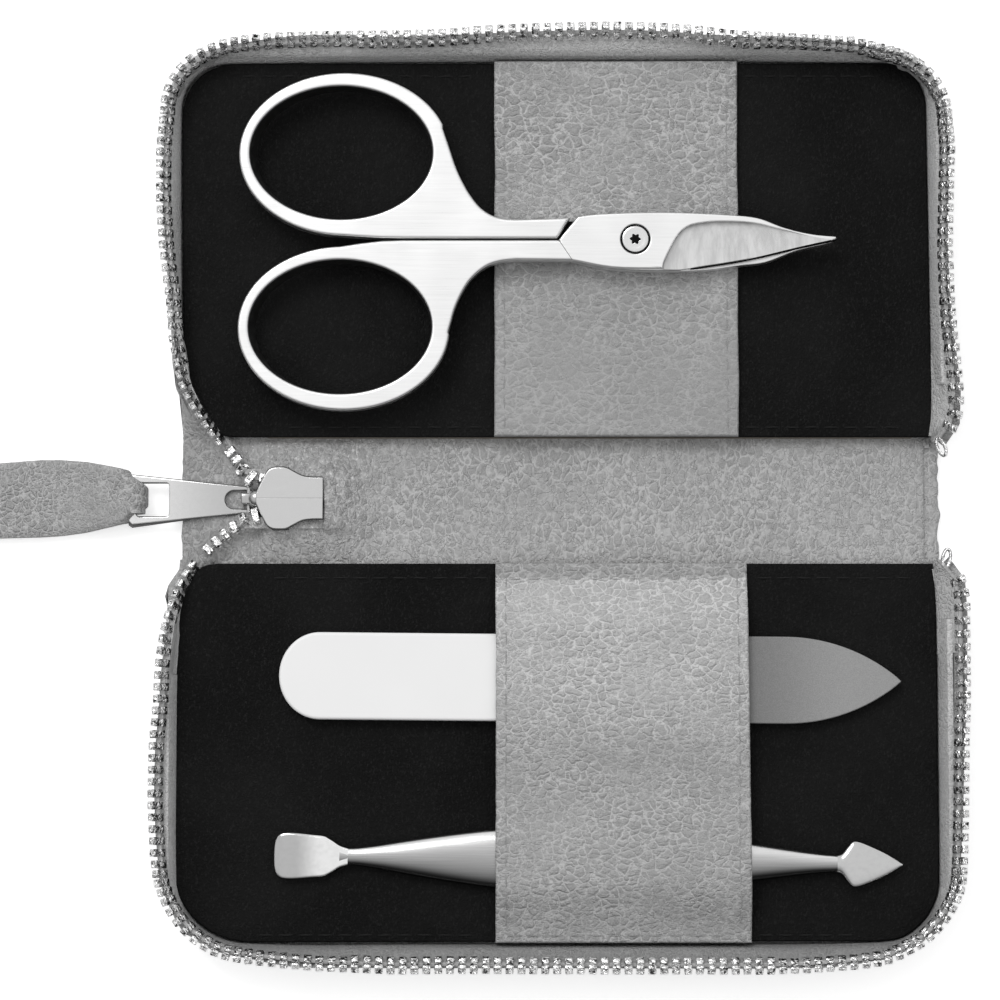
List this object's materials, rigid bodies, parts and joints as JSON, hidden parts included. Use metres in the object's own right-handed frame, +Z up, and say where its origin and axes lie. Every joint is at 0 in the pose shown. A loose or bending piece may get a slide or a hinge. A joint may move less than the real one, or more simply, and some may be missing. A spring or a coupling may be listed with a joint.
{
  "type": "manicure set case",
  "caption": "Zipped leather manicure case lying open, with padded spine, zip slider and strap, holding small scissors, a nail file and a cuticle tool.",
  "frame": {"origin": "under the middle of the spine, on the surface that the open case lies on", "axes": "+X along the spine, from the slider end to the zip's free end; +Y across the spine, to the half that holds the scissors; +Z up"},
  "size_m": [0.1558, 0.1362, 0.0098],
  "materials": {
    "leather": "pebbled, mid grey",
    "lining": "fine grain, mid grey",
    "facing": "fine grain, grey",
    "liner": "fine matte grain, black",
    "board": "pressed board",
    "tape": "woven",
    "zip_metal": "bright nickel",
    "slider_metal": "polished nickel",
    "steel": "satin",
    "file_steel": "fine grit",
    "file_handle": "matte white",
    "tool_steel": "satin, with polished ends"
  },
  "bodies": {
    "lower_half": {"outer_shell_lower": "leather", "stiffener_board_lower": "board", "liner_lower": "liner", "wall_facing_lower": "facing", "zip_tape_lower": "tape", "zip_teeth_lower": "zip_metal", "zip_top_stop_lower": "zip_metal", "retaining_band_lower": "leather"},
    "upper_half": {"outer_shell_upper": "leather", "stiffener_board_upper": "board", "liner_upper": "liner", "wall_facing_upper": "facing", "zip_tape_upper": "tape", "zip_teeth_upper": "zip_metal", "zip_top_stop_upper": "zip_metal", "retaining_band_upper": "leather"},
    "spine": {"spine_leather": "leather", "spine_lining": "lining", "zip_tape_end_upper": "tape", "zip_tape_end_lower": "tape", "zip_teeth_spine": "zip_metal", "zip_bottom_stop": "zip_metal"},
    "slider": {"slider_body": "slider_metal", "slider_bridge": "slider_metal"},
    "pull_tab": {"pull_tab": "slider_metal"},
    "pull_strap": {"pull_strap": "leather"},
    "scissors_under": {"scissor_blade_under": "steel", "scissor_screw": "steel"},
    "scissors_top": {"scissor_blade_top": "steel"},
    "nail_file": {"nail_file_blade": "file_steel", "nail_file_handle": "file_handle"},
    "cuticle_tool": {"cuticle_tool": "tool_steel"}
  },
  "joints": [
    {"name": "spine_fold", "type": "hinge", "parent": "lower_half", "child": "spine", "pos_m": [0, -0.008, 0.002], "axis": [-1, 0, 0], "range_deg": [-90, 0]},
    {"name": "cover_fold", "type": "hinge", "parent": "spine", "child": "upper_half", "pos_m": [0, 0.008, 0.002], "axis": [-1, 0, 0], "range_deg": [-90, 0]},
    {"name": "slider_run", "type": "slide", "parent": "spine", "child": "slider", "axis": [1, 0, 0], "range_m": [-0.0015, 0]},
    {"name": "pull_swing", "type": "hinge", "parent": "slider", "child": "pull_tab", "pos_m": [-0.0452, 0.0005, 0.00245], "axis": [0, 1, 0], "range_deg": [0, 65]},
    {"name": "strap_bend", "type": "hinge", "parent": "pull_tab", "child": "pull_strap", "pos_m": [-0.0624, 0.0005, 0.00245], "axis": [0, 1, 0], "range_deg": [0, 60]},
    {"name": "scissors_lift", "type": "slide", "parent": "upper_half", "child": "scissors_under", "axis": [0, 0, 1], "range_m": [0, 0.04]},
    {"name": "scissors_pivot", "type": "hinge", "parent": "scissors_under", "child": "scissors_top", "pos_m": [0.01087, 0.03792, 0.00737], "axis": [0, 0, 1], "range_deg": [0, 35]},
    {"name": "file_slide", "type": "slide", "parent": "lower_half", "child": "nail_file", "axis": [1, -0.0096, 0], "range_m": [-0.012, 0.004]},
    {"name": "tool_slide", "type": "slide", "parent": "lower_half", "child": "cuticle_tool", "axis": [0.9999, -0.0148, 0], "range_m": [-0.012, 0.004]}
  ]
}
